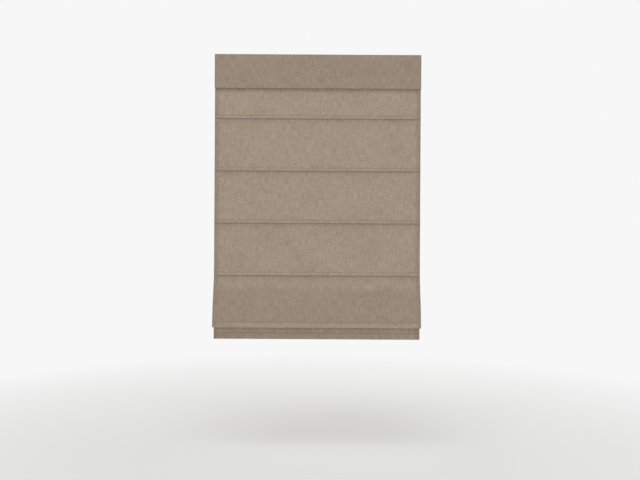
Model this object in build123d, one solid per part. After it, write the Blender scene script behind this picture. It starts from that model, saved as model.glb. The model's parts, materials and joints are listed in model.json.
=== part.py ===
from build123d import *
import math
import os

# A cordless roman blind with a sprung lift in its headrail, in millimetres.
# The origin is the middle of the brackets' ceiling face, +Z is up and the front of the blind faces -Y.

# Overall sizes
blind_width = 902.0
valance_drop = 152.0
first_line_drop = 283.0
line_pitch = 229.0
line_count = 4
flap_height = 224.0
flap_flare = 43.0
tail_below_flap = 56.0
fold_height = 183.0

# Cloth, its sewn pockets and the battens in them
cloth_thickness = 1.0
cloth_top_gap = 6.0
pocket_height = 13.0
flap_pocket_height = 20.0
pocket_wall = 0.7
pocket_corner = 1.2
batten_height = 9.6
batten_thickness = 2.4
batten_corner = 1.0
batten_clearance = 0.3
batten_end_gap = 6.0
flap_straight = 5.0
flap_lip = 22.0
flap_bend = 30.0
fold_turn = 10.0
crease_leg = 16.0
leg_straight = 4.0
seam_gap = 0.3
turn_share = 0.45

# Valance and what holds it
valance_ply = 0.9
valance_top_gap = 2.0
valance_hem = 30.0
valance_turn = 1.8
valance_sweep = 2.6
valance_batten_height = 22.0
valance_batten_drop = 4.0
valance_fastener_thickness = 1.5

# Hem, bottom rail and its end caps
hem_height = 27.0
hem_slope = 4.0
rail_height = 20.0
rail_thickness = 3.0
rail_corner = 1.2
rail_end_gap = 14.0
rail_cap_wall = 0.6
rail_cap_end = 2.0
rail_cap_length = 16.0
rail_fit = 0.1
hem_clearance = 0.4

# Headrail channel and its end caps
headrail_depth = 44.0
headrail_height = 32.0
headrail_wall = 1.0
headrail_lip = 6.0
headrail_bend = 1.8
headrail_end_gap = 5.0
cap_plate = 2.0
cap_plug = 14.0
cap_wall = 1.6
cap_fit = 0.15
cap_corner = 2.0
cap_edge = 0.8

# Touch-fastener strips between the headrail and the cloth
strip_thickness = 1.0
strip_height = 20.0
strip_drop = 8.0
strip_end_gap = 8.0

# Ceiling brackets
bracket_plate = 1.2
bracket_width = 40.0
bracket_x = 330.0
bracket_bend = 1.6
bracket_fit = 0.15
bracket_hook = 5.0
bracket_toe = 8.0
bracket_hole_radius = 2.25
bracket_hole_spacing = 18.0
bracket_back_spacing = 20.0
bracket_back_drop = 15.0

# Lift cords, their guides and their ties
cord_radius = 0.7
cord_slack = 0.15
cord_setback = 7.5
knot_radius = 2.0
guide_width = 16.0
guide_height = 10.0
guide_plate = 1.4
guide_ring_radius = 5.0
guide_bore = 2.6
guide_ring_height = 3.2
guide_neck = 5.0
guide_corner = 2.0
guide_sewing_radius = 0.8
guide_sewing_spacing = 9.0
guide_sewing_rise = 6.6
bore_chamfer = 0.4
tie_bore = 0.95
tie_drop = 12.0

# Lift shaft and cord spools
shaft_side = 5.0
shaft_fit = 0.1
shaft_overhang = 5.0
shaft_chamfer = 0.6
spool_x = 290.0
spool_core_radius = 7.0
spool_flange_radius = 10.0
spool_flange = 1.6
rim_chamfer = 0.4
spool_length = 24.0
hub_radius = 4.6
hub_length = 4.0
hub_fit = 0.08
axis_drop = 17.2

# Cradles and motor frame
frame_base = 2.4
frame_plate = 2.4
frame_side_gap = 0.6
frame_fit = 1.5
frame_top_gap = 5.0
cradle_back = 4.0
rib_thickness = 1.8
rib_reach = 5.0
rib_height = 8.0
rib_inset = 2.0
bush_radius = 3.0
bush_bore = 1.6
bush_drop = 2.0
bush_fit = 0.3

# Spring motor
storage_back_gap = 0.35
output_core_radius = 6.0
output_flange_radius = 9.6
output_length = 30.0
storage_core_radius = 3.8
storage_flange_radius = 7.3
storage_hub_radius = 3.2
storage_hub = 0.4
axle_radius = 2.0
axle_fit = 0.06
axle_head_radius = 3.2
axle_head = 1.4
spring_gap = 0.3
spring_output_build = 2.0
spring_storage_build = 2.4
spring_strip = 0.6
spring_side_gap = 0.8

# One overrun serves every cut
overrun = 2.0

# Places worked out from the sizes above
rail_top = -bracket_plate
rail_bottom = rail_top - headrail_height
rail_floor = rail_bottom + headrail_wall
rail_front = -headrail_depth / 2
rail_back = headrail_depth / 2
inside_back = rail_back - headrail_wall
headrail_length = blind_width - 2 * headrail_end_gap
cloth_back = rail_front - 2 * strip_thickness
cloth_middle = cloth_back - cloth_thickness / 2
cloth_front = cloth_back - cloth_thickness
line_drops = [first_line_drop + line_pitch * i for i in range(line_count)]
stack_line = -line_drops[-1]
flap_bottom = stack_line - flap_height
tail_bottom = flap_bottom - tail_below_flap
crease_top = flap_bottom + fold_height
pocket_depth = batten_thickness + 2 * (batten_clearance + pocket_wall)
crease_turn = pocket_depth + batten_clearance + cloth_thickness
valance_back = cloth_front - pocket_depth - valance_sweep
valance_front_ply = valance_back - valance_turn - valance_ply / 2
cord_y = cloth_back + cord_setback
axis_y = cord_y + spool_core_radius + cord_radius + cord_slack
axis_z = -axis_drop
storage_y = inside_back - storage_flange_radius - storage_back_gap
drum_spacing = storage_y - axis_y
frame_top = rail_top - frame_top_gap


def across(face, length, middle=0):
    """A section in the YZ plane, run along the blind's width."""
    return Pos(middle, 0, 0) * extrude(Plane.YZ * face, amount=length / 2, both=True)


def block_face(front, back, bottom, top):
    """A plain rectangle of the section, by its four sides."""
    place = Pos((front + back) / 2, (bottom + top) / 2)
    return place * Rectangle(back - front, top - bottom)


def folded_strip(points, radius, thickness):
    """The section of a bent strip: a rounded line with a thickness."""
    return trace(FilletPolyline(*points, radius=radius), line_width=thickness)


def post(x, y, bottom, top, radius):
    """An upright round bar or cutter."""
    return Pos(x, y, (bottom + top) / 2) * Cylinder(radius, top - bottom)


# Headrail: a roll-formed channel, open at the top between two lips, with an outlet for each cord
def make_headrail():
    half = headrail_wall / 2
    upper = rail_top - half
    lower = rail_bottom + half
    line = [
        (rail_front + headrail_lip, upper),
        (rail_front + half, upper),
        (rail_front + half, lower),
        (rail_back - half, lower),
        (rail_back - half, upper),
        (rail_back - headrail_lip, upper),
    ]
    rail = across(folded_strip(line, headrail_bend, headrail_wall), headrail_length)
    for side in (-1, 1):
        hole = bush_radius + bush_fit
        rail -= post(side * spool_x, cord_y, rail_bottom - overrun, rail_floor + overrun, hole)
    return rail


# End cap: a plate over the channel's end with a hollow plug that slides inside
def make_end_cap(side):
    end = headrail_length / 2
    middle_z = (rail_top + rail_bottom) / 2
    plate_face = Pos(0, middle_z) * RectangleRounded(headrail_depth, headrail_height, cap_corner)
    plate = across(plate_face, cap_plate, side * (end + cap_plate / 2))
    outside = plate.faces().sort_by(Axis.X)[-1 if side > 0 else 0]
    plate = fillet(outside.edges(), cap_edge)
    reach = inside_back - cap_fit
    plug_bottom = rail_floor + cap_fit
    plug_top = rail_top - headrail_wall - cap_fit
    outer = fillet(block_face(-reach, reach, plug_bottom, plug_top).vertices(), headrail_bend)
    hollow = block_face(cap_wall - reach, reach - cap_wall, plug_bottom + cap_wall, plug_top - cap_wall)
    plug = across(outer - hollow, cap_plug, side * (end - cap_plug / 2))
    return plate + plug


# Bracket: a bent steel clip round the headrail's top, back and lower edge
def make_bracket(side):
    half = bracket_plate / 2
    front = rail_front - bracket_fit - half
    back = rail_back + bracket_fit + half
    lower = rail_bottom - bracket_fit - half
    line = [
        (front, -bracket_hook),
        (front, -half),
        (back, -half),
        (back, lower),
        (rail_back - bracket_toe, lower),
    ]
    middle = side * bracket_x
    bracket = across(folded_strip(line, bracket_bend, bracket_plate), bracket_width, middle)
    for y in (-bracket_hole_spacing / 2, bracket_hole_spacing / 2):
        bracket -= post(middle, y, rail_top - overrun, overrun, bracket_hole_radius)
    for x in (-bracket_back_spacing / 2, bracket_back_spacing / 2):
        drill = Rot(90, 0, 0) * Cylinder(bracket_hole_radius, bracket_plate + 2 * overrun)
        bracket -= Pos(middle + x, back, -bracket_back_drop) * drill
    return bracket


# Touch fastener: hooks on the headrail's front, loops on the back of the cloth
def make_strip(back):
    face = block_face(back - strip_thickness, back, -strip_drop - strip_height, -strip_drop)
    return across(face, headrail_length - 2 * strip_end_gap)


# Valance: a flat cloth with its lower edge turned up behind, on a batten at the top
def make_valance():
    low = -valance_drop + valance_ply / 2
    line = [
        (valance_front_ply, -valance_top_gap),
        (valance_front_ply, low),
        (valance_front_ply + valance_turn, low),
        (valance_front_ply + valance_turn, low + valance_hem),
    ]
    return across(folded_strip(line, valance_turn * turn_share, valance_ply), blind_width)


def make_valance_batten():
    front = valance_front_ply + valance_ply / 2
    back = cloth_front - valance_fastener_thickness
    face = block_face(front, back, -valance_batten_drop - valance_batten_height, -valance_batten_drop)
    rounded = fillet(face.vertices(), batten_corner)
    return across(rounded, headrail_length - 2 * strip_end_gap)


def make_valance_fastener():
    bottom = -valance_batten_drop - valance_batten_height + batten_corner
    face = block_face(cloth_front - valance_fastener_thickness, cloth_front, bottom, -strip_drop)
    return across(face, headrail_length - 2 * strip_end_gap)


# Shade cloth: the flat upper part, the front flap, the back of the fold, and the tail with its hem
def make_shade_cloth():
    face = block_face(cloth_front, cloth_back, stack_line + pocket_height, -cloth_top_gap)
    return across(face, blind_width)


def make_flap():
    front = cloth_middle - flap_flare
    low = flap_bottom + cloth_thickness / 2
    line = [
        (cloth_middle, stack_line + pocket_height),
        (cloth_middle, stack_line - flap_straight),
        (front, flap_bottom + flap_lip),
        (front, low),
        (front + fold_turn, low),
        (front + fold_turn, flap_bottom + flap_lip),
    ]
    turn = fold_turn * turn_share
    bends = [flap_bend, flap_bend, turn, turn]
    return across(folded_strip(line, bends, cloth_thickness), blind_width)


def make_back_fold():
    low = cloth_middle - flap_flare + fold_turn
    high = cloth_middle - crease_turn
    bottom = flap_bottom + flap_lip
    top = crease_top - crease_leg - seam_gap
    line = [
        (low, bottom),
        (low, bottom + leg_straight),
        (high, top - leg_straight),
        (high, top),
    ]
    return across(folded_strip(line, leg_straight, cloth_thickness), blind_width)


def make_tail():
    crease = crease_top - cloth_thickness / 2
    low = tail_bottom + cloth_thickness / 2
    hem_turn = rail_thickness + 2 * (rail_fit + rail_cap_wall + hem_clearance) + cloth_thickness
    hem_wall = cloth_middle + hem_turn
    line = [
        (cloth_middle - crease_turn, crease_top - crease_leg),
        (cloth_middle - crease_turn, crease),
        (cloth_middle, crease),
        (cloth_middle, low),
        (hem_wall, low),
        (hem_wall, tail_bottom + hem_height / 2),
    ]
    closing = [
        (hem_wall, tail_bottom + hem_height / 2),
        (hem_wall, tail_bottom + hem_height - hem_slope),
        (cloth_middle, tail_bottom + hem_height),
    ]
    fold = crease_turn * turn_share
    hem = hem_turn * turn_share
    section = folded_strip(line, [fold, fold, hem, hem], cloth_thickness)
    section += folded_strip(closing, cloth_thickness, cloth_thickness)
    return across(section, blind_width)


# Pockets and battens: a flat batten slides into a sewn sleeve on the cloth's face
def make_pocket(face_y, bottom, height):
    place = Pos(face_y - pocket_depth / 2, bottom + height / 2)
    outer = RectangleRounded(pocket_depth, height, pocket_corner)
    inside_depth = pocket_depth - 2 * pocket_wall
    inside_height = batten_height + 2 * batten_clearance + height - pocket_height
    inner = RectangleRounded(inside_depth, inside_height, batten_corner)
    return across(place * (outer - inner), blind_width)


def make_batten(face_y, bottom):
    place = Pos(face_y - pocket_depth / 2, bottom + pocket_height / 2 - batten_clearance)
    face = RectangleRounded(batten_thickness, batten_height, batten_corner)
    return across(place * face, blind_width - 2 * batten_end_gap)


# Cord guides: a sewn-on plate with a ring for the cord, or a small bore where the cord is tied.
# Each bore is eased at both ends so that it does not chafe the cord.
def make_guides(bore, middle_z):
    guides = Part()
    for side in (-1, 1):
        x = side * spool_x
        low = middle_z - guide_ring_height / 2
        high = middle_z + guide_ring_height / 2
        plate_side = block_face(cloth_back, cloth_back + guide_plate, low, low + guide_height)
        plate = across(plate_side, guide_width, x)
        plate = fillet(plate.edges().filter_by(Axis.Y), guide_corner)
        for place in (-guide_sewing_spacing / 2, guide_sewing_spacing / 2):
            drill = Rot(90, 0, 0) * Cylinder(guide_sewing_radius, 2 * (guide_plate + overrun))
            plate -= Pos(x + place, cloth_back, low + guide_sewing_rise) * drill
        neck = across(block_face(cloth_back, cord_y, low, high), guide_neck, x)
        guide = plate + neck + post(x, cord_y, low, high, guide_ring_radius)
        guide -= post(x, cord_y, low - overrun, high + overrun, bore)
        circles = guide.edges().filter_by(GeomType.CIRCLE)
        rims = [edge for edge in circles if round(edge.radius, 3) == bore]
        guides += chamfer(rims, bore_chamfer)
    return guides


# Lift cord: straight down from the spool, through the guides, to its knot under the tie
def make_cord(side):
    x = side * spool_x
    knot = tie_z - guide_ring_height / 2 - knot_radius
    return post(x, cord_y, knot, axis_z, cord_radius) + Pos(x, cord_y, knot) * Sphere(knot_radius)


# Drum: a hub at each end, two flanges and a core, turned about the lift shaft's direction
def make_drum(length, hub, reach, flange_radius, core_radius):
    end = length / 2
    inner = end - spool_flange
    tip = end + reach
    rim = flange_radius - rim_chamfer
    right_half = [
        (inner, core_radius),
        (inner, rim),
        (inner + rim_chamfer, flange_radius),
        (end - rim_chamfer, flange_radius),
        (end, rim),
        (end, hub),
        (tip, hub),
        (tip, 0),
    ]
    half_section = [(-x, radius) for x, radius in reversed(right_half)] + right_half
    return revolve(make_face(Polyline(*half_section, close=True)), Axis.X)


def make_square_drum(middle, length, flange_radius, core_radius):
    drum = make_drum(length, hub_radius, hub_length, flange_radius, core_radius)
    side = shaft_side + 2 * shaft_fit
    drum -= Box(length + 2 * (hub_length + overrun), side, side)
    return Pos(middle, axis_y, axis_z) * drum


def make_storage_drum():
    drum = make_drum(
        output_length, storage_hub_radius, storage_hub, storage_flange_radius, storage_core_radius
    )
    bore = Cylinder(axle_radius + axle_fit, output_length + 2 * (storage_hub + overrun))
    return Pos(0, storage_y, axis_z) * (drum - Rot(0, 90, 0) * bore)


def make_shaft():
    reach = spool_x + spool_length / 2 + hub_length + shaft_overhang
    bar = Box(2 * reach, shaft_side, shaft_side)
    ends = bar.faces().sort_by(Axis.X)
    bar = chamfer(ends[0].edges() + ends[-1].edges(), shaft_chamfer)
    return Pos(0, axis_y, axis_z) * bar


# Frame plate: an end wall with an open slot that the shaft's hubs drop into
def plate_face(front, back):
    wall = fillet(block_face(front, back, rail_floor, frame_top).vertices().sort_by(Axis.Y)[2:], cap_corner)
    slot_radius = hub_radius + hub_fit
    slot = Pos(axis_y, axis_z) * Circle(slot_radius)
    slot += block_face(axis_y - slot_radius, axis_y + slot_radius, axis_z, frame_top + overrun)
    return wall - slot


def plate_places(length):
    """The middles of the two end walls beside a drum of this length."""
    reach = length / 2 + frame_side_gap + frame_plate / 2
    return (-reach, reach)


def wall_ribs(length, middle, front, back):
    """Four three-sided ribs that stand on the base and hold its two end walls upright."""
    foot = rail_floor + frame_base
    outside = length / 2 + frame_side_gap + frame_plate
    ribs = Part()
    for side in (-1, 1):
        root = side * outside
        corners = [(root, foot), (root + side * rib_reach, foot), (root, foot + rib_height)]
        outline = Plane.XZ * make_face(Polyline(*corners, close=True))
        rib = extrude(outline, amount=rib_thickness / 2, both=True)
        for y in (front + rib_inset, back - rib_inset):
            ribs += Pos(middle, y, 0) * rib
    return ribs


def frame_foot(length, middle, front):
    """The base under a drum of this length, with rounded corners and room for the ribs."""
    span = length + 2 * (frame_side_gap + frame_plate + rib_reach)
    base = across(block_face(front, -front, rail_floor, rail_floor + frame_base), span, middle)
    return fillet(base.edges().filter_by(Axis.Z), cap_corner)


# Spool cradle: a moulded base with two ribbed end walls, and the bush that the cord leaves by
def make_cradle(side):
    x = side * spool_x
    front = frame_fit - inside_back
    back = axis_y + hub_radius + cradle_back
    base_top = rail_floor + frame_base
    cradle = frame_foot(spool_length, x, front) + wall_ribs(spool_length, x, front, back)
    for place in plate_places(spool_length):
        cradle += across(plate_face(front, back), frame_plate, x + place)
    cradle += post(x, cord_y, rail_bottom - bush_drop, base_top, bush_radius)
    return cradle - post(x, cord_y, rail_bottom - bush_drop - overrun, base_top + overrun, bush_bore)


# Motor frame: the same walls across the whole channel, with a hole for the storage axle
def make_motor_frame():
    front = frame_fit - inside_back
    frame = frame_foot(output_length, 0, front) + wall_ribs(output_length, 0, front, -front)
    hole = Pos(storage_y, axis_z) * Circle(axle_radius)
    for place in plate_places(output_length):
        frame += across(plate_face(front, -front) - hole, frame_plate, place)
    return frame


def make_storage_axle():
    outer = plate_places(output_length)[1] + frame_plate / 2
    pin = across(Circle(axle_radius), 2 * outer)
    for side in (-1, 1):
        pin += across(Circle(axle_head_radius), axle_head, side * (outer + axle_head / 2))
    return Pos(0, storage_y, axis_z) * pin


# Power spring: a steel strip wound on both drums, crossing between them
def make_power_spring():
    output_inner = output_core_radius + spring_gap
    output_outer = output_inner + spring_output_build
    storage_inner = storage_core_radius + spring_gap
    storage_outer = storage_inner + spring_storage_build
    output_lap = output_outer - spring_strip / 2
    storage_lap = storage_outer - spring_strip / 2
    lean = math.acos((output_lap + storage_lap) / drum_spacing)
    across_share, down_share = math.cos(lean), math.sin(lean)
    leave = (output_lap * across_share, output_lap * down_share)
    arrive = (drum_spacing - storage_lap * across_share, -storage_lap * down_share)
    section = Circle(output_outer) - Circle(output_inner)
    section += Pos(drum_spacing, 0) * (Circle(storage_outer) - Circle(storage_inner))
    section += trace(Line(leave, arrive), line_width=spring_strip)
    width = output_length - 2 * (spool_flange + spring_side_gap)
    return across(Pos(axis_y, axis_z) * section, width)


# Bottom rail: a flat bar in the hem, with a moulded cap on each end
hem_middle = cloth_back + hem_clearance + rail_cap_wall + rail_fit + rail_thickness / 2
rail_middle = tail_bottom + cloth_thickness + hem_clearance + rail_cap_wall + rail_fit + rail_height / 2
rail_length = blind_width - 2 * rail_end_gap


def make_bottom_rail():
    face = Pos(hem_middle, rail_middle) * RectangleRounded(rail_thickness, rail_height, rail_corner)
    return across(face, rail_length)


def make_rail_cap(side):
    place = Pos(hem_middle, rail_middle)
    bore = RectangleRounded(rail_thickness + 2 * rail_fit, rail_height + 2 * rail_fit, rail_corner)
    outer_depth = rail_thickness + 2 * (rail_fit + rail_cap_wall)
    outer_height = rail_height + 2 * (rail_fit + rail_cap_wall)
    outer = RectangleRounded(outer_depth, outer_height, rail_corner)
    end = rail_length / 2
    sleeve = across(place * (outer - bore), rail_cap_length, side * (end - rail_cap_length / 2))
    return sleeve + across(place * outer, rail_cap_end, side * (end + rail_cap_end / 2))


# The lowest batten lies inside the crease, and the cords are tied behind it
crease_pocket_bottom = crease_top - cloth_thickness - crease_turn / 2 - pocket_height
tie_z = crease_top - tie_drop
flap_face = cloth_middle - flap_flare - cloth_thickness / 2

parts = {
    "headrail": make_headrail(),
    "hook_strip": make_strip(rail_front),
    "loop_strip": make_strip(rail_front - strip_thickness),
    "valance": make_valance(),
    "valance_batten": make_valance_batten(),
    "valance_fastener": make_valance_fastener(),
    "shade_cloth": make_shade_cloth(),
    "flap_cloth": make_flap(),
    "back_fold_cloth": make_back_fold(),
    "tail_cloth": make_tail(),
    "lift_shaft": make_shaft(),
    "output_drum": make_square_drum(0, output_length, output_flange_radius, output_core_radius),
    "storage_drum": make_storage_drum(),
    "storage_axle": make_storage_axle(),
    "motor_frame": make_motor_frame(),
    "power_spring": make_power_spring(),
    "bottom_rail": make_bottom_rail(),
    "cord_guides_2": make_guides(guide_bore, -line_drops[1]),
    "cord_guides_4": make_guides(guide_bore, -line_drops[3]),
    "cord_ties": make_guides(tie_bore, tie_z),
}
for name, side in (("left", -1), ("right", 1)):
    parts[f"end_cap_{name}"] = make_end_cap(side)
    parts[f"bracket_{name}"] = make_bracket(side)
    parts[f"spool_cradle_{name}"] = make_cradle(side)
    parts[f"spool_{name}"] = make_square_drum(
        side * spool_x, spool_length, spool_flange_radius, spool_core_radius
    )
    parts[f"lift_cord_{name}"] = make_cord(side)
    parts[f"rail_cap_{name}"] = make_rail_cap(side)

pocket_places = [(cloth_front, -drop, pocket_height) for drop in line_drops]
pocket_places.append((flap_face, flap_bottom, flap_pocket_height))
pocket_places.append((cloth_front, crease_pocket_bottom, pocket_height))
for number, (face_y, bottom, height) in enumerate(pocket_places, 1):
    parts[f"pocket_{number}"] = make_pocket(face_y, bottom, height)
    parts[f"batten_{number}"] = make_batten(face_y, bottom)

os.makedirs("parts", exist_ok=True)
for name, solid in parts.items():
    export_step(solid, f"parts/{name}.step")
    print(name, len(solid.solids()), round(solid.volume))
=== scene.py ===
# %% [markdown]
# # A cordless roman blind
# The blind is one long cloth that hangs from a metal headrail. Flat battens in sewn pockets keep it
# straight, and two cords behind it wind up on spools in the headrail, which a spring balances.
# The hard parts come as finished solids in a fixed frame, in metres, with the front of the blind
# towards -Y. Only the soft pieces are made anew here, so they have to lie where their solids lie.

# %% Load the frame
import json
import math
import bmesh
import bpy
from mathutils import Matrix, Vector, geometry, noise


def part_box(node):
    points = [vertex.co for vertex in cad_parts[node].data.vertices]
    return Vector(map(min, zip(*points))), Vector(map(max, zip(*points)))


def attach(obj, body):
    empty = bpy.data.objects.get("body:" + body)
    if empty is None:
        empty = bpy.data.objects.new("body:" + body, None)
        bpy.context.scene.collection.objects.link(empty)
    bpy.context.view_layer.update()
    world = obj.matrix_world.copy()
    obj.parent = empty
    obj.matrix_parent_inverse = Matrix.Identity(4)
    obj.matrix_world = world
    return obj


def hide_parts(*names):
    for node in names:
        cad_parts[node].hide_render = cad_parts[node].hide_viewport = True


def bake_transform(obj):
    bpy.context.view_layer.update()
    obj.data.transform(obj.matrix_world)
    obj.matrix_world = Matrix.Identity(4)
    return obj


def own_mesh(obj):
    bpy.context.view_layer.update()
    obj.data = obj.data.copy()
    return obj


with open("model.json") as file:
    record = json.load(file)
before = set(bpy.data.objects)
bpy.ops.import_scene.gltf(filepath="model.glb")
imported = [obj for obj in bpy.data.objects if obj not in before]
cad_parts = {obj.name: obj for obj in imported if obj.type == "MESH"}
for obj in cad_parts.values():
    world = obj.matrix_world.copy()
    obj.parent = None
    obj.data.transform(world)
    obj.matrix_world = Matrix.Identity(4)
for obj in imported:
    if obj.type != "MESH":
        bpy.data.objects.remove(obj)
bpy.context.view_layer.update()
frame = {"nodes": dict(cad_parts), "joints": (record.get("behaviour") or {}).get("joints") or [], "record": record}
nodes = frame["nodes"]

# %% [markdown]
# ## Camera
# The blind was seen straight on from about three metres, level with a point below its middle.
# A longer lens further away would flatten the lowest fold, which stands a little towards the camera,
# so the distance was chosen to make that fold as much wider than the rest as it looks.

# %% Camera
def show(name, data):
    """An object with this data, put into the scene."""
    thing = bpy.data.objects.new(name, data)
    bpy.context.collection.objects.link(thing)
    return thing


lens = bpy.data.cameras.new("camera")
lens.lens = 38.62
lens.sensor_width = 36.0
camera = show("camera", lens)
camera.location = (0.0128, -3.035, -0.814)
roll = math.radians(0.33)
camera.rotation_euler = (math.pi / 2, -roll, 0)
bpy.context.scene.camera = camera
bpy.context.scene.view_settings.view_transform = "Standard"
print("camera", tuple(round(c, 3) for c in camera.location))

# %% [markdown]
# ## Light
# The blind is lit softly, from the front and from above. One wide lamp high in front gives each
# sewn edge its thin shadow, a second in front softens that shadow, a third lights the back, and an even
# pale world fills the rest. In front they add up to about one, so a colour renders as it is written.

# %% Lamps
def lamp(name, place, aim, size, watts):
    light = bpy.data.lights.new(name, "AREA")
    light.shape = "RECTANGLE"
    light.size, light.size_y = size
    light.energy = watts
    holder = show(name, light)
    holder.location = place
    holder.rotation_euler = (Vector(aim) - Vector(place)).to_track_quat("-Z", "Y").to_euler()


lamp("key", place=(-0.4, -1.9, 2.2), aim=(0, 0, -0.7), size=(2.6, 1.2), watts=32)
lamp("fill", place=(0.3, -3.4, -0.9), aim=(0, 0, -0.8), size=(2.4, 1.8), watts=41)
lamp("behind", place=(0.4, 2.6, 1.4), aim=(0, 0, -0.6), size=(1.8, 1.2), watts=46)
print("lamps: key, fill, behind")

# %% [markdown]
# ## Writing finishes as sums
# A finish is a small network of nodes. Joining them by hand hides what they do, so a socket is wrapped
# in a class whose arithmetic adds the Math nodes, and one method adds any other node with its settings
# and its sockets.

# %% A socket that can be added and multiplied
class Value:
    def __init__(self, finish, socket):
        self.finish = finish
        self.socket = socket

    def math(self, operation, *others):
        terms = dict(enumerate((self, *others)))
        return self.finish.add("ShaderNodeMath", {"operation": operation}, terms)

    def __add__(self, other):
        return self.math("ADD", other)

    def __mul__(self, other):
        return self.math("MULTIPLY", other)

    def __sub__(self, other):
        return self.math("SUBTRACT", other)

    def __rsub__(self, other):
        return (self * -1.0) + other

    __radd__ = __add__
    __rmul__ = __mul__

    def fold(self):
        """A row of round bumps: the size of the sine, one bump for each unit."""
        return (self * math.pi).math("SINE").math("ABSOLUTE")

    def clip(self, low, high):
        """0 below low, 1 above high and a straight slope between."""
        return self.finish.add("ShaderNodeMapRange", {"clamp": True}, {0: self, 1: low, 2: high})


print("a socket can be added, subtracted and multiplied")

# %% A finish: a material and the nodes that feed its shader
def tint(red, green, blue):
    """A colour as a screen shows it, 0 to 255, turned into the linear light that a shader takes."""
    shares = [c / 255 for c in (red, green, blue)]
    return (*[c / 12.92 if c <= 0.04045 else ((c + 0.055) / 1.055) ** 2.4 for c in shares], 1.0)


class Finish:
    def __init__(self, name, **constants):
        self.material = bpy.data.materials.new(name)
        self.material.use_nodes = True
        self.tree = self.material.node_tree
        self.shader = self.tree.nodes["Principled BSDF"]
        for socket, value in constants.items():
            self.shader.inputs[socket.replace("_", " ")].default_value = value

    def add(self, kind, settings=None, sockets=None, output=0):
        node = self.tree.nodes.new(kind)
        for key, value in (settings or {}).items():
            setattr(node, key, value)
        for key, value in (sockets or {}).items():
            if isinstance(value, Value):
                self.tree.links.new(value.socket, node.inputs[key])
            else:
                node.inputs[key].default_value = value
        return Value(self, node.outputs[output])

    def place(self, scale=(1, 1, 1), own=None):
        """Object coordinates, or the piece's own map, stretched by scale."""
        if own:
            source = self.add("ShaderNodeUVMap", {"uv_map": own})
        else:
            source = self.add("ShaderNodeTexCoord", output="Object")
        return self.add("ShaderNodeMapping", {}, {"Vector": source, "Scale": scale})

    def part(self, vector, axis):
        """One coordinate of a place."""
        return self.add("ShaderNodeSeparateXYZ", {}, {0: vector}, output=axis)

    def cloud(self, where, scale=1.0, detail=3.0, rough=0.55):
        sockets = {"Vector": where, "Scale": scale, "Detail": detail, "Roughness": rough}
        return self.add("ShaderNodeTexNoise", {}, sockets)

    def mix(self, factor, first, second, way="MIX"):
        """The Mix node has sockets for each kind of data, so those for colours go by their number."""
        settings = {"data_type": "RGBA", "blend_type": way}
        return self.add("ShaderNodeMix", settings, {0: factor, 6: first, 7: second}, output=2)

    def tones(self, share, dark, pale):
        """From a dark to a pale colour, both as a screen shows them."""
        return self.mix(share, tint(*dark), tint(*pale))

    def finish(self, colour, height, roughness=None, depth=0.0002, strength=0.5):
        self.tree.links.new(colour.socket, self.shader.inputs["Base Color"])
        if roughness is not None:
            self.tree.links.new(roughness.socket, self.shader.inputs["Roughness"])
        sockets = {"Height": height, "Strength": strength, "Distance": depth}
        bump = self.add("ShaderNodeBump", {}, sockets)
        self.tree.links.new(bump.socket, self.shader.inputs["Normal"])
        return self.material


print("finishes are ready to be written")

# %% [markdown]
# ## The linen
# The cloth is a slubby plain weave in warm beige: uneven threads, some thick and pale, some thin and
# dark. An even noise would look like felt, so the threads are drawn from the cloth's own map, which is
# in metres across and along the cloth. A float on each point, layers, says how much cloth lies behind
# it, and it also holds painted shade under each sewn line, under the valance and along the pocket seams.
# Daylight comes through one layer and makes it paler; no light passes through the cloth here, so that
# daylight is painted, and hems, the valance, the pockets and the doubled fold are a little deeper.

# %% Linen
thread = 0.0009
thread_drift = 1.6


def make_linen(name, single, doubled_and_shaded):
    linen = Finish(name, Sheen_Weight=0.12, Sheen_Roughness=0.6, Specular_IOR_Level=0.2)
    cloth = linen.place(own="cloth")

    def grain(across, along, detail=2.0, rough=0.55):
        """Noise with about this many grains to the metre across and along the cloth."""
        stretched = linen.place((across, along, 1), own="cloth")
        return linen.cloud(stretched, detail=detail, rough=rough)

    drift = grain(60, 60) * thread_drift
    warp = linen.part(cloth, "X") * (1 / thread) + drift
    weft = linen.part(cloth, "Y") * (1 / thread) + drift
    over = (warp.math("FLOOR") + weft.math("FLOOR")).math("FLOORED_MODULO", 2.0)
    weft_slub = grain(16, 620, detail=3.0, rough=0.6)
    warp_slub = grain(620, 14, detail=3.0, rough=0.6)
    slub = weft_slub * (1.0 - over) + warp_slub * over
    weft_band, warp_band, mottle = grain(34, 150), grain(150, 30), grain(7, 9)
    tone = slub * 0.9 + weft_band * 0.6 + warp_band * 0.85 + mottle * 0.3 - 0.825
    layers = linen.add("ShaderNodeAttribute", {"attribute_name": "layers"}, output="Fac")
    deep = linen.mix(layers, single, doubled_and_shaded)
    dark = linen.mix(1.0, deep, (0.80, 0.79, 0.77, 1), "MULTIPLY")
    pale = linen.mix(1.0, deep, (1.19, 1.19, 1.20, 1), "MULTIPLY")
    return linen.finish(
        colour=linen.mix(tone.clip(0.2, 0.8), dark, pale),
        roughness=0.98 - slub * 0.16,
        height=weft.fold() * (1.0 - over) + warp.fold() * over + slub * 1.2,
        depth=0.00022,
        strength=0.55,
    )


# The paler tone is painted daylight through one layer; the deeper one is doubled cloth and painted shade.
linen = make_linen("linen", single=tint(162, 146, 130), doubled_and_shaded=tint(146, 130, 115))
print("linen thread", thread * 1000, "mm")

# %% [markdown]
# ## Hard finishes
# Behind the cloth are white painted steel, plated steel, moulded plastics, glass-fibre battens and bare
# wood. None of them is one flat colour: paint has a faint orange peel, zinc plate a cloudy bloom,
# moulded plastic a fine spark-eroded grain, and drawn or pultruded parts have lines along their length.

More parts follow.
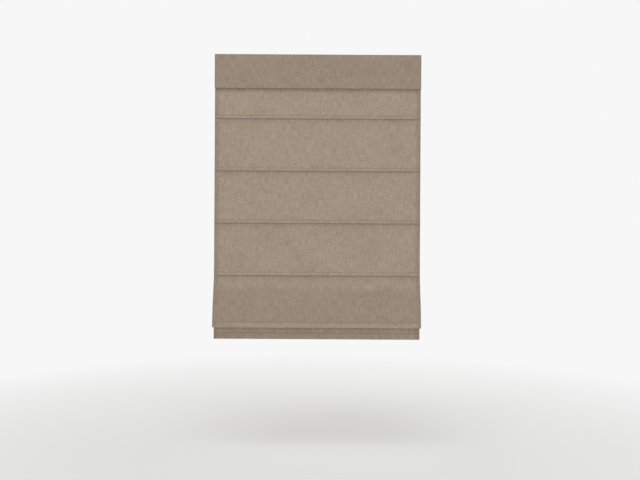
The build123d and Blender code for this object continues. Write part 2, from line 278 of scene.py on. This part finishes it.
# %% Metals
paint = Finish("white_paint", Coat_Weight=0.25, Coat_Roughness=0.2)
bloom = paint.cloud(paint.place((6, 40, 40)))
rail_paint = paint.finish(
    colour=paint.tones(bloom, (226, 224, 218), (240, 238, 233)),
    roughness=0.34 + bloom * 0.12,
    height=paint.cloud(paint.place(), scale=900.0, detail=2.0),
    depth=0.00004,
)

zinc = Finish("zinc_plate", Metallic=1.0)
crystals = {"Vector": zinc.place(), "Scale": 260.0, "Smoothness": 0.6}
cells = zinc.add("ShaderNodeTexVoronoi", {"feature": "SMOOTH_F1"}, crystals)
haze = zinc.cloud(zinc.place(), scale=70.0, detail=4.0)
plate = zinc.finish(
    colour=zinc.tones(cells * 0.6 + haze * 0.5, (176, 178, 180), (208, 208, 204)),
    roughness=0.26 + haze * 0.3,
    height=zinc.cloud(zinc.place((900, 20, 900)), detail=2.0),
    depth=0.00003,
)

strip = Finish("spring_strip", Metallic=1.0)
rolling = strip.cloud(strip.place((1400, 30, 30)))
blueing = strip.cloud(strip.place(), scale=90.0, detail=2.0)
spring_steel = strip.finish(
    colour=strip.tones(blueing, (112, 118, 132), (152, 152, 156)),
    roughness=0.2 + rolling * 0.2,
    height=rolling,
    depth=0.00003,
)

drawn = Finish("drawn_bar", Metallic=1.0)
lines = drawn.cloud(drawn.place((8, 2600, 2600)))
shaft_bar = drawn.finish(
    colour=drawn.tones(lines, (178, 178, 180), (214, 214, 214)),
    roughness=0.24 + lines * 0.22,
    height=lines,
    depth=0.00003,
)
print("metals: paint, zinc plate, spring strip, drawn bar")

# %% Plastics, wood and touch fastener
def moulded(name, dark, pale, rough, grain=2200.0, coat=0.0):
    plastic = Finish(name, Coat_Weight=coat, Coat_Roughness=0.15)
    flow = plastic.cloud(plastic.place((30, 60, 60)))
    return plastic.finish(
        colour=plastic.tones(flow, dark, pale),
        roughness=rough + flow * 0.14,
        height=plastic.cloud(plastic.place(), scale=grain, detail=2.0),
        depth=0.00005,
        strength=0.4,
    )


white_plastic = moulded("white_plastic", (222, 219, 210), (236, 233, 226), rough=0.42)
drum_plastic = moulded("drum_plastic", (198, 196, 188), (216, 213, 205), rough=0.36)
guide_plastic = moulded(
    "guide_plastic", (214, 212, 204), (234, 232, 226), rough=0.16, grain=900.0, coat=0.4
)

glass_fibre = Finish("pultruded_batten")
fibres = glass_fibre.cloud(glass_fibre.place((5, 1500, 1500)), detail=4.0)
batten_stock = glass_fibre.finish(
    colour=glass_fibre.tones(fibres, (196, 190, 172), (224, 219, 204)),
    roughness=0.4 + fibres * 0.2,
    height=fibres,
    depth=0.00006,
)

pine = Finish("bare_pine")
rings = pine.cloud(pine.place((2.5, 150, 60)), detail=4.0, rough=0.6)
pores = pine.cloud(pine.place((40, 1200, 1200)), detail=2.0)
bare_wood = pine.finish(
    colour=pine.tones(rings.clip(0.3, 0.7), (190, 158, 116), (216, 188, 146)),
    roughness=0.62 + pores * 0.2,
    height=rings + pores,
    depth=0.0001,
)

touch = Finish("touch_fastener", Sheen_Weight=0.3, Sheen_Roughness=0.5)
loops = touch.add("ShaderNodeTexVoronoi", {}, {"Vector": touch.place(), "Scale": 1100.0})
nap = touch.cloud(touch.place(), scale=160.0)
# The colour follows the loops' height and is darker where they lie low: painted shade between the loops.
fastener = touch.finish(
    colour=touch.tones(loops * 0.8 + nap * 0.4, (206, 198, 180), (232, 227, 214)),
    roughness=0.8 + nap * 0.15,
    height=loops,
    depth=0.0004,
    strength=0.9,
)
print("plastics, pultruded batten, pine and touch fastener")

# %% Each solid takes the finish of its material slot
finishes = {
    "rail": rail_paint, "steel": plate, "spring": spring_steel, "shaft": shaft_bar,
    "plastic": white_plastic, "drum": drum_plastic, "guide": guide_plastic,
    "batten": batten_stock, "wood": bare_wood, "fastener": fastener, "cloth": linen,
}
slots = {part["node"]: part["material_slot"] for part in frame["record"]["subparts"]}
for name, node in nodes.items():
    if slots[name] in finishes:
        node.data.materials.clear()
        node.data.materials.append(finishes[slots[name]])
print("finished", sum(slots[name] in finishes for name in nodes), "solids")

# %% [markdown]
# ## Hanging a cloth on a line
# Every cloth here is flat across and bent only along its length. So each starts as a grid, and its rows
# are laid on a bent line in the side view. The outer columns are turned back behind the cloth as side
# hems. A cloth simulation was not needed: battens hold the cloth straight, and only a soft unevenness
# is left.

# %% The bent line
corner_share = 0.49
corner_pull = 0.6
corner_points = 7
same_point = 1e-7


def walk(corners, radius, step):
    """Points along a line in the side view, its corners rounded, at most one step apart."""
    line = [Vector((0, y, z)) for y, z in corners]
    rounded = [line[0]]
    for before, here, after in zip(line, line[1:], line[2:]):
        shorter = min((before - here).length, (after - here).length)
        reach = min(radius, shorter * corner_share)
        enter = here + (before - here).normalized() * reach
        leave = here + (after - here).normalized() * reach
        pulled = enter.lerp(here, corner_pull), leave.lerp(here, corner_pull)
        rounded += geometry.interpolate_bezier(enter, *pulled, leave, corner_points)
    rounded.append(line[-1])
    points = [rounded[0]]
    for start, end in zip(rounded, rounded[1:]):
        if (end - start).length > same_point:
            pieces = math.ceil((end - start).length / step)
            points += [start.lerp(end, (i + 1) / pieces) for i in range(pieces)]
    return points


square = walk([(0, 0), (0, 0.01), (0.01, 0.01)], radius=0.004, step=0.002)
print("a square corner becomes", len(square), "points")

# %% The columns of the grid
half_width = 0.451
ply = 0.00048
side_hem = 0.022
hem_gap = ply * 1.06
column_step = 0.0075


def side_columns(step, hem=side_hem):
    """Each column's x, how far it lies behind the face, and its place on the flat cloth."""
    count = round(2 * half_width / step)
    face = [(-half_width + 2 * half_width * i / count) for i in range(count + 1)]
    turned = [hem, hem * 0.66, hem * 0.33, 0.0] if hem else []
    left = [(-half_width + d, hem_gap, -half_width - d) for d in turned]
    right = [(half_width - d, hem_gap, half_width + d) for d in reversed(turned)]
    return left + [(x, 0.0, x) for x in face] + right


columns = side_columns(column_step)
plain_columns = side_columns(column_step, 0.0)
print(len(columns), "columns with side hems and", len(plain_columns), "without")

# %% The grid that is laid on the line
hem_share = 0.7


def settle(name, mesh, material):
    """A finished mesh as a piece in the scene."""
    data = bpy.data.meshes.new(name)
    mesh.to_mesh(data)
    mesh.free()
    data.materials.append(material)
    piece = show(name, data)
    return piece


def hang(name, points, columns, unevenness, depth, start=0.0, body=None):
    """The cloth on this line, and how far its map reaches. Depth gives the layers behind a point, together with
    any painted shade there.
    """
    mesh = bmesh.new()
    rows, wide = len(points) - 1, len(columns) - 1
    bmesh.ops.create_grid(mesh, x_segments=wide, y_segments=rows, size=0.5)
    layers = mesh.verts.layers.float.new("layers")
    own = mesh.loops.layers.uv.new("cloth")
    length = [start]
    for before, after in zip(points, points[1:]):
        length.append(length[-1] + (after - before).length)
    flat = {}
    for vert in mesh.verts:
        row = round((0.5 - vert.co.y) * rows)
        x, behind, u = columns[round((vert.co.x + 0.5) * wide)]
        here = points[row]
        heading = (points[min(row + 1, rows)] - points[max(row - 1, 0)]).normalized()
        back = Vector((0, -heading.z, heading.y))
        vert.co = here + back * (behind + unevenness(x, here.z)) + Vector((x, 0, 0))
        flat[vert] = (u, length[row])
        vert[layers] = max(depth(x, here.z), hem_share if abs(x) > half_width - side_hem else 0.0)
    for face in mesh.faces:
        face.smooth = True
        for loop in face.loops:
            loop[own].uv = flat[loop.vert]
    for edge in mesh.edges:
        edge.smooth = not edge.is_boundary
    print(name, len(mesh.faces), "faces", round(length[-1] - start, 3), "m long")
    cloth = settle(name, mesh, linen)
    thick = cloth.modifiers.new("ply", "SOLIDIFY")
    thick.thickness = ply
    thick.offset = 0.0
    if body:
        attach(cloth, body)
    return cloth, length[-1]


print("side hems count as", hem_share, "of a layer")

# %% Ways to be uneven
def still(x, z):
    return 0.0


def evenly(share):
    return lambda x, z: share


def ramp(share):
    """A straight slope from 0 to 1, flat outside."""
    return max(0.0, min(1.0, share))


def ease(share):
    """A smooth step from 0 to 1."""
    share = ramp(share)
    return share * share * (3 - 2 * share)


def ripple(x, z, across, along, layer):
    """Smooth noise with so many waves to the metre. Each cloth takes a layer of its own."""
    return noise.noise(Vector((x * across, layer, z * along)))


print("half way up a smooth step:", ease(0.5))

# %% [markdown]
# ## The hanging cloth
# The top of the cloth is fixed to the headrail and its foot to the fourth line. When the blind is drawn
# up, the cloth between gathers; here only the share of its height that it keeps then is worked out. The
# unevenness fades to nothing at the top and at each sewn line, where the cloth is held.

# %% Where the cloth is held
line_drops = [-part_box(f"pocket_{i}")[0][2] for i in (1, 2, 3, 4)]
cloth_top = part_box("shade_cloth")[1][2]
cloth_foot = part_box("shade_cloth")[0][2]
face_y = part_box("shade_cloth")[0][1] + ply / 2
fastener_foot = -0.03
guide_x = 0.29
slack_depth = 0.0011
near_line = 0.07
beside_guide, over_guide = 0.06, 0.14


def slack(x, z):
    """Between its lines the cloth lies back unevenly, clear of the pockets and the guides."""
    held = [cloth_top, fastener_foot] + [-drop for drop in line_drops]
    hold = ease(min(abs(z - line) for line in held) / near_line)
    aside, away = abs(abs(x) - guide_x) / beside_guide, abs(z + line_drops[1]) / over_guide
    hold *= ease(max(aside, away))
    broad = ripple(x, z, across=2.6, along=4.2, layer=3.1)
    small = ripple(x, z, across=7.0, along=6.0, layer=8.4)
    return slack_depth * hold * max(0.0, broad + 0.5 * small + 1.0)


# Painted shade under each sewn line and the valance: these shares darken the cloth there, fading over this length.
edge_shade_share = 0.95
edge_shade_fade = 0.014
valance_shade_share = 0.15
behind_valance = 0.7
held_edges = [(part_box("valance")[0][2], valance_shade_share)]
held_edges += [(-drop, edge_shade_share) for drop in line_drops]


def painted_edge_shade(x, z):
    """Painted shade: the cloth is darker for a short way under each line and the valance, fading downwards. Above
    the valance's foot it is a fixed depth.
    """
    below = [(edge - z, share) for edge, share in held_edges if edge > z]
    if not below:
        return behind_valance
    drop, share = min(below)
    return share * math.exp(-drop / edge_shade_fade)


print("lines at", [round(drop, 3) for drop in line_drops], "m")

# %% Upper cloth
upper_line = [(face_y, cloth_top), (face_y, cloth_foot)]
upper_points = walk(upper_line, radius=0.0, step=0.0045)
upper, sewn = hang("upper_cloth", upper_points, columns, slack, painted_edge_shade, body="headrail")
lift = next(j for j in frame["joints"] if j["name"] == "stack_lift")["range_m"][1]
keep = (cloth_top - (cloth_foot + lift)) / (cloth_top - cloth_foot)
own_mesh(upper)
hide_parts("shade_cloth")
print("gathers to", round(keep, 3), "of its height")

# %% [markdown]
# ## The lowest fold
# Below the fourth line the cloth leans out as a flap, turns under at its lower edge and climbs back
# behind to a crease, where the cords are tied. From the crease the tail hangs straight down to the hem,
# with the rail in it. Each of these three lengths starts where the one before ends, so the weave runs
# on across the seams.

# %% Flap
flap_low, flap_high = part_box("flap_cloth")
flap_front = flap_low[1] + ply / 2
under = 0.010
turn_height = 0.022
fold_low = (flap_front + under, flap_low[2] + turn_height)
flap_line = [
    (face_y, flap_high[2]),
    (face_y, flap_high[2] - 0.020),  # straight at the seam, then leaning out
    (flap_front + 0.004, flap_low[2] + 0.075),
    (flap_front, flap_low[2] + 0.016),  # upright over the batten
    (flap_front, flap_low[2] + ply),
    (flap_front + under, flap_low[2] + ply),  # turned under
    fold_low,
]
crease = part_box("tail_cloth")[1][2]
flap_wave = 0.0022
fold_share = 0.55
fold_fade = 0.03


def belly(x, z):
    """The flap hangs free between the seam above it and the batten in its lower edge."""
    from_seam = (flap_high[2] - 0.03 - z) / 0.08
    from_batten = (z - flap_low[2] - 0.02) / 0.05
    loose = ramp(min(from_seam, from_batten))
    return flap_wave * loose * ripple(x, z, across=3.2, along=5.0, layer=1.7)


def doubled_and_shaded(x, z):
    """The flap is painted darker at its top, as shade under the fourth line, and from the crease down, where the
    fold backs it.
    """
    backed = fold_share * ramp((crease - z) / fold_fade)
    below = -line_drops[3] - z
    return max(backed, edge_shade_share * math.exp(-below / edge_shade_fade) if below > 0.0 else 0.0)


flap_points = walk(flap_line, radius=0.045, step=0.0075)
flap, sewn = hang("flap", flap_points, columns, belly, doubled_and_shaded, start=sewn, body="lowest_fold")
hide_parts("flap_cloth")

# %% Back of the fold
tail_low, tail_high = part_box("tail_cloth")
crease_front = tail_low[1] + ply / 2
crease_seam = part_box("back_fold_cloth")[1][2]
seam_straight = 0.006
fold_line = [
    fold_low,
    (fold_low[0], fold_low[1] + seam_straight),
    (crease_front, crease_seam - seam_straight),
    (crease_front, crease_seam),
]
fold_points = walk(fold_line, radius=0.02, step=0.0075)
fold_back, sewn = hang("fold_back", fold_points, columns, still, evenly(0.75), start=sewn)
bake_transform(fold_back)
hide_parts("back_fold_cloth")

# %% Tail and hem
hem_back = tail_high[1] - ply / 2
hem_front = face_y - 0.0002
hem_top = tail_low[2] + 0.027
hem_seam_z = hem_top + 0.003
hem_groove = 0.0020
hem_inner = face_y + hem_groove + ply * 1.2
tail_line = [
    (crease_front, crease_seam),
    (crease_front, tail_high[2] - ply),  # over the crease
    (face_y, tail_high[2] - ply),
    (face_y, hem_top + 0.007),
    (face_y + hem_groove, hem_seam_z),  # pressed in where the hem is sewn
    (hem_front, hem_top + 0.0002),
    (hem_front, tail_low[2] + ply),  # round the rail
    (hem_back, tail_low[2] + ply),
    (hem_back, hem_top - 0.004),
    (hem_inner, hem_top),
    (hem_inner, hem_top + 0.006),
]
tail_points = walk(tail_line, radius=0.0026, step=0.0060)
tail, _ = hang("tail", tail_points, columns, still, evenly(0.08), start=sewn, body="tail")
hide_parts("tail_cloth")

# %% [markdown]
# ## Batten pockets
# At each line a pinch of cloth is sewn into a pocket for a flat batten. From the front it is a low
# ridge: a seam along its top, a pale face, and a lower edge that stands off the cloth and throws the
# thin dark line that runs across the blind. That line is deepened by painted shade on the cloth under
# it, and the seam band is painted darker too, as shade. Most pockets have a raw edge above the seam.
# The fourth and the fifth have it turned in and are sewn with a finer thread, so no row of stitches
# stands out.

# %% Pockets
pocket_bodies = ["first_line", "second_line", "third_line", "lowest_fold", "lowest_fold", "tail"]
# Painted shade: the band along each pocket's seam is darkened by these shares. The face shares make each pocket's
# face a little deeper, as doubled cloth.
seam_shade_shares = [0.35, 0.1, 0.1, 0.0, 0.0, 0.1]
face_layers = [0.12, 0.12, 0.12, 0.0, 0.1, 0.12]
plain_pockets = (4, 5)
taller = {5: 0.0022}
raw_edge = 0.0022
seam_shade_band = 0.0014
map_step = 0.01
pocket_wave = 0.00018


def sleeve(x, z):
    """A batten leaves its pocket almost even."""
    return pocket_wave * ripple(x, z, across=14.0, along=3.0, layer=5.5)


def make_pocket(number):
    low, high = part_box(f"pocket_{number}")
    back, front, foot, top = high[1], low[1], low[2], high[2] + taller.get(number, 0.0)
    turned_in = number in plain_pockets
    line = [] if turned_in else [(back - ply * 1.0, top + raw_edge)]
    line += [
        (back - ply * (0.45 if turned_in else 0.6), top - 0.0003),  # the seam, pressed in
        (back - ply * 0.7, top - 0.0009),
        (front + ply * 0.8, top - 0.0026),  # the face over the batten
        (front + ply * 0.5, foot + 0.0014),
        (front + 0.0022, foot + ply * 0.5),  # under the batten
        (back - ply * 1.3, foot + 0.0010),  # and up behind it
        (back - ply * 1.1, top - 0.0024),
    ]
    painted_seam_shade, face_share = seam_shade_shares[number - 1], face_layers[number - 1]
    start = map_step * number
    points = walk(line, radius=0.0012, step=0.004)
    pocket, end = hang(
        f"batten_pocket_{number}", points, plain_columns, sleeve,
        depth=lambda x, z: painted_seam_shade if z > top - seam_shade_band else face_share,
        start=start, body=pocket_bodies[number - 1],
    )
    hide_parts(f"pocket_{number}")
    end - start


for number in range(1, 7):
    make_pocket(number)

# %% [markdown]
# ## Valance
# The valance is a separate flat cloth in front of the headrail. It wraps over the top of a wooden
# batten, and its lower edge is turned up inside and sewn blind, so no stitches show on its face.

# %% Valance
val_low, val_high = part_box("valance")
batten_low, batten_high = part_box("valance_batten")
val_front = val_low[1] + ply / 2
val_back = val_high[1] - ply / 2
val_hem = 0.030
val_map = 4.0
val_wave = 0.0006
val_line = [
    (batten_high[1] - 0.001, batten_high[2] + ply),
    (val_front, batten_high[2] + ply),
    (val_front, val_low[2] + ply / 2),
    (val_back, val_low[2] + ply / 2),
    (val_back, val_low[2] + val_hem),
]


def drape(x, z):
    """Below its batten the valance hangs free."""
    loose = ramp((batten_low[2] - z) / 0.05)
    return val_wave * loose * ripple(x, z, across=3.0, along=5.0, layer=6.6)


val_points = walk(val_line, radius=0.0009, step=0.0075)
valance, end = hang(
    "valance_cloth", val_points, columns, drape, evenly(0.72), start=val_map, body="headrail"
)
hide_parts("valance")
end - val_map

# %% [markdown]
# ## Stitching
# A lockstitch is a row of short raised threads with small gaps. One stitch is a stretched ball, and
# copies of it are set along the seam. They are real shapes, because a seam is seen edge-on where a
# drawn line would vanish. The side hems are sewn through the back only, so their rows lie there.

# %% Sewing thread and stitches
sewing = Finish("sewing_thread", Sheen_Weight=0.2, Roughness=0.7)
twist = sewing.cloud(sewing.place((900, 900, 900)), detail=2.0)
sewing_thread = sewing.finish(
    colour=sewing.tones(twist, (126, 110, 95), (148, 132, 116)), height=twist, depth=0.00005
)
stitch_pitch = 0.0034


def sew(name, first, last, body, size, pitch=stitch_pitch, lie=still):
    """Equal stitches from first to last, balls of these half sizes, that lie on an uneven cloth."""
    first, last = Vector(first), Vector(last)
    count = round((last - first).length / pitch)
    mesh = bmesh.new()
    made = bmesh.ops.create_uvsphere(mesh, u_segments=6, v_segments=4, radius=1.0)["verts"]
    bmesh.ops.scale(mesh, vec=size, verts=made)
    shape = list(mesh.verts) + list(mesh.edges) + list(mesh.faces)
    for i in range(1, count + 1):
        copy = bmesh.ops.duplicate(mesh, geom=shape)["geom"]
        moved = [v for v in copy if isinstance(v, bmesh.types.BMVert)]
        here = first.lerp(last, i / count)
        bmesh.ops.translate(mesh, vec=here + Vector((0, lie(here.x, here.z), 0)), verts=moved)
    bmesh.ops.translate(mesh, vec=first + Vector((0, lie(first.x, first.z), 0)), verts=made)
    for face in mesh.faces:
        face.smooth = True
    seam = settle(name, mesh, sewing_thread)
    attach(seam, body)
    return seam


print("a stitch every", stitch_pitch * 1000, "mm")

# %% Seams of the pockets and the hem
seam_end = half_width - 0.004
seam_sink, seam_drop = ply * 1.15, 0.0006
lying = (0.0012, 0.0003, 0.0003)
fine = (0.0010, 0.0002, 0.0002)
for number in range(1, 7):
    _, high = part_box(f"pocket_{number}")
    place = (high[1] - seam_sink, high[2] - seam_drop + taller.get(number, 0.0))
    ends = (-seam_end, *place), (seam_end, *place)
    size = fine if number in plain_pockets else lying
    sew(f"pocket_seam_{number}", *ends, pocket_bodies[number - 1], size)
hem_place = (face_y + 0.0018 - ply * 0.8, hem_seam_z)
sew("hem_seam", (-seam_end, *hem_place), (seam_end, *hem_place), "tail", lying)
print("seams: six pockets and the hem")

# %% Side seams
upright = (0.0003, 0.0003, 0.0012)
side_x = half_width - side_hem + 0.003
hem_face = face_y + ply * 1.7
end_gap = 0.004
below_crease, above_hem = 0.03, 0.036
for x, name in ((-side_x, "left"), (side_x, "right")):
    ends = (x, hem_face, cloth_top - end_gap), (x, hem_face, cloth_foot + end_gap)
    down = sew(f"side_seam_{name}", *ends, "headrail", upright, lie=slack)
    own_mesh(down)
    ends = (x, hem_face, crease - below_crease), (x, hem_face, tail_low[2] + above_hem)
    sew(f"tail_side_{name}", *ends, "tail", upright)
print("side seams on the back of the upper cloth and the tail")

# %% Threads that hold the cord guides
plate_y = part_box("shade_cloth")[1][1] + 0.0014
holes_rise = 0.0066
half_gap = 0.0005
across_holes = (0.0047, 0.0004, 0.0003)
sewn_on = (("cord_guides_2", "second_line"), ("cord_guides_4", "lowest_fold"), ("cord_ties", "tail"))
for node, body in sewn_on:
    holes_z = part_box(node)[0][2] + holes_rise
    for x, name in ((-guide_x, "left"), (guide_x, "right")):
        ends = (x, plate_y, holes_z - half_gap), (x, plate_y, holes_z + half_gap)
        sew(f"{node}_thread_{name}", *ends, body, across_holes, half_gap)
print("guides sewn on")

# %% [markdown]
# ## Lift cords
# Each cord hangs from its spool through the guides to a knot under its tie. Drawing the blind up winds
# it in; the share of the long upper part that is left then is worked out, and the short lower part spans
# the lowest fold. The braid is drawn from the cord's own map: round it and along it.

# %% Braid
strands_each_way = 8
crossings_per_metre = 900
braid = Finish("braided_cord", Sheen_Weight=0.2)
plait = braid.part(braid.place((strands_each_way, 1, 1), own="cloth"), "X")
run = braid.part(braid.place((1, crossings_per_metre, 1), own="cloth"), "Y")
strands = (plait + run).fold() * (plait - run).fold()
fuzz = braid.cloud(braid.place(), scale=1500.0, detail=2.0)
# The colour follows the strands' height and is darker where they lie low: painted shade in the grooves between
# them.
cord_braid = braid.finish(
    colour=braid.tones(strands * 0.7 + fuzz * 0.3, (196, 190, 174), (232, 228, 216)),
    roughness=0.72 + fuzz * 0.2,
    height=strands,
    strength=0.8,
)
print("braid of", strands_each_way, "strands each way")

# %% A straight length of cord
cord_radius = 0.0007
cord_step = 0.02


def make_cord(name, x, y, top, foot):
    mesh = bmesh.new()
    ring = bmesh.ops.create_circle(mesh, segments=10, radius=cord_radius, cap_ends=False)
    bmesh.ops.translate(mesh, vec=(x, y, top), verts=ring["verts"])
    edges = list(mesh.edges)
    steps = max(2, round((top - foot) / cord_step))
    for _ in range(steps):
        grown = bmesh.ops.extrude_edge_only(mesh, edges=edges)["geom"]
        moved = [v for v in grown if isinstance(v, bmesh.types.BMVert)]
        bmesh.ops.translate(mesh, vec=(0, 0, (foot - top) / steps), verts=moved)
        edges = [e for e in grown if isinstance(e, bmesh.types.BMEdge)]
    bmesh.ops.holes_fill(mesh, edges=[e for e in mesh.edges if e.is_boundary], sides=0)
    bmesh.ops.recalc_face_normals(mesh, faces=mesh.faces)
    own = mesh.loops.layers.uv.new("cloth")
    for face in mesh.faces:
        face.smooth = True
        corners = [loop.vert.co for loop in face.loops]
        turns = [math.atan2(co.y - y, co.x - x) / math.tau % 1.0 for co in corners]
        wraps = max(turns) - min(turns) > 0.5
        for loop, turn in zip(face.loops, turns):
            loop[own].uv = (turn + 1.0 if wraps and turn < 0.5 else turn, loop.vert.co.z)
    return settle(name, mesh, cord_braid)


print("cord", cord_radius * 2000, "mm thick")

# %% Both cords
knot_rise = 0.002
knot_clear = 0.004
for name in ("left", "right"):
    low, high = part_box(f"lift_cord_{name}")
    x = (low[0] + high[0]) / 2
    y = (low[1] + high[1]) / 2
    knot_z = low[2] + knot_rise
    long_part = make_cord(f"cord_{name}", x, y, high[2], -line_drops[3])
    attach(long_part, "headrail")
    gathered = (line_drops[3] - lift + high[2]) / (line_drops[3] + high[2])
    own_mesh(long_part)
    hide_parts(f"lift_cord_{name}")
    short_part = make_cord(f"cord_end_{name}", x, y, -line_drops[3], knot_z)
    ends = (x, y, -line_drops[3]), (x, y, knot_z + knot_clear)
    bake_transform(short_part)
    print("cord", name, round((high[2] - knot_z) * 1000), "mm down to its knot")

# %% [markdown]
# ## Knots and windings
# A knot is a few tight turns of the same cord. Spinning the cord's round section about a short axis
# gives one turn, and three turned against each other make a knot. The same spin, repeated side by side,
# winds the spool.

# %% A turn of cord
braid_across = 230.0
braid_along = 0.004
ring_steps = 28


def add_turn(mesh, centre, radius, axis, thick):
    """One closed ring of cord about an axis, spun from a small circle."""
    axis = Vector(axis).normalized()
    out = axis.orthogonal().normalized()
    made = bmesh.ops.create_circle(mesh, segments=8, radius=thick, cap_ends=False)["verts"]
    turned = out.cross(axis).to_track_quat("Z", "Y").to_matrix()
    bmesh.ops.rotate(mesh, cent=(0, 0, 0), matrix=turned, verts=made)
    bmesh.ops.translate(mesh, vec=Vector(centre) + out * radius, verts=made)
    ring = list({e for v in made for e in v.link_edges})
    bmesh.ops.spin(
        mesh, geom=made + ring, cent=centre, axis=axis, angle=math.tau, steps=ring_steps,
        use_merge=True, use_duplicate=False,
    )


def close_rings(name, mesh, body):
    bmesh.ops.remove_doubles(mesh, verts=mesh.verts, dist=1e-6)
    bmesh.ops.recalc_face_normals(mesh, faces=mesh.faces)
    own = mesh.loops.layers.uv.new("cloth")
    for face in mesh.faces:
        face.smooth = True
        for loop in face.loops:
            co = loop.vert.co
            loop[own].uv = (co.x * braid_across, math.atan2(co.y, co.z) * braid_along + co.z)
    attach(settle(name, mesh, cord_braid), body)


print("a turn of cord has", ring_steps, "steps")

# %% Knots under the ties and cord on the spools
knot_turns = (((0.25, 0.1, 1), 0.0006), ((1, 0.3, 0.35), 0.0), ((-0.3, 1, 0.3), -0.0004))
knot_radius = 0.00115
knot_cord = cord_radius * 0.85
windings = 11
winding_pitch = 0.00152
winding_radius = 0.0077
winding_axis = (1, 0, 0.01)
for name in ("left", "right"):
    low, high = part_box(f"lift_cord_{name}")
    centre = Vector(((low[0] + high[0]) / 2, (low[1] + high[1]) / 2, low[2] + knot_rise))
    mesh = bmesh.new()
    for axis, rise in knot_turns:
        add_turn(mesh, centre + Vector((0, 0, rise)), knot_radius, axis, knot_cord)
    close_rings(f"knot_{name}", mesh, "tail")
    low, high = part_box(f"spool_{name}")
    middle = [(a + b) / 2 for a, b in zip(low, high)]
    mesh = bmesh.new()
    for turn in range(windings):
        x = middle[0] + (turn - windings // 2) * winding_pitch
        add_turn(mesh, (x, *middle[1:]), winding_radius, winding_axis, cord_radius)
    close_rings(f"spool_cord_{name}", mesh, "lift_shaft")
print("knots and windings")

# %% [markdown]
# ## Floor and background
# A pale floor lies well below the blind, which hangs and does not stand on it. Further off it fades into
# the background. The background gives the cloth an even soft light, and is nearly white only where the
# camera or a shiny metal looks at it, so a white picture takes no more light on the cloth.

# %% Floor
floor_z = -1.78
floor_fade = 0.34
floor_mesh = bmesh.new()
bmesh.ops.create_grid(floor_mesh, x_segments=1, y_segments=1, size=40.0)
bmesh.ops.translate(floor_mesh, vec=(0, 0, floor_z), verts=floor_mesh.verts)
floor_data = bpy.data.meshes.new("floor")
floor_mesh.to_mesh(floor_data)
floor_mesh.free()
pale = Finish("pale_floor", Roughness=0.9, Base_Color=(0.86, 0.86, 0.85, 1))
flat_place = pale.place((floor_fade, floor_fade, 0))
reach = pale.add("ShaderNodeVectorMath", {"operation": "LENGTH"}, {0: flat_place}, output="Value")
direct = pale.add("ShaderNodeLightPath", output="Is Camera Ray")
glow = pale.add("ShaderNodeEmission", {}, {"Strength": 0.55 + direct * 0.38})
surface = Value(pale, pale.shader.outputs[0])
faded = pale.add("ShaderNodeMixShader", {}, {0: reach.clip(0.25, 0.95), 1: surface, 2: glow})
pale.tree.links.new(faded.socket, pale.tree.nodes["Material Output"].inputs["Surface"])
floor_data.materials.append(pale.material)
show("floor", floor_data)
print("floor at", floor_z, "m")

# %% World
lighting_level = 0.47
seen_level = 0.93
world = bpy.data.worlds.new("world")
bpy.context.scene.world = world
world.use_nodes = True
sky_nodes, sky_links = world.node_tree.nodes, world.node_tree.links
sky = sky_nodes["Background"]
sky.inputs["Color"].default_value = (1.0, 1.0, 1.0, 1)
rays = sky_nodes.new("ShaderNodeLightPath")
seen = sky_nodes.new("ShaderNodeMath")
seen.operation = "MAXIMUM"
sky_links.new(rays.outputs["Is Camera Ray"], seen.inputs[0])
sky_links.new(rays.outputs["Is Glossy Ray"], seen.inputs[1])
level = sky_nodes.new("ShaderNodeMapRange")
level.inputs["To Min"].default_value = lighting_level
level.inputs["To Max"].default_value = seen_level
sky_links.new(seen.outputs[0], level.inputs["Value"])
sky_links.new(level.outputs[0], sky.inputs["Strength"])
print("world lights at", lighting_level, "and is seen at", seen_level)
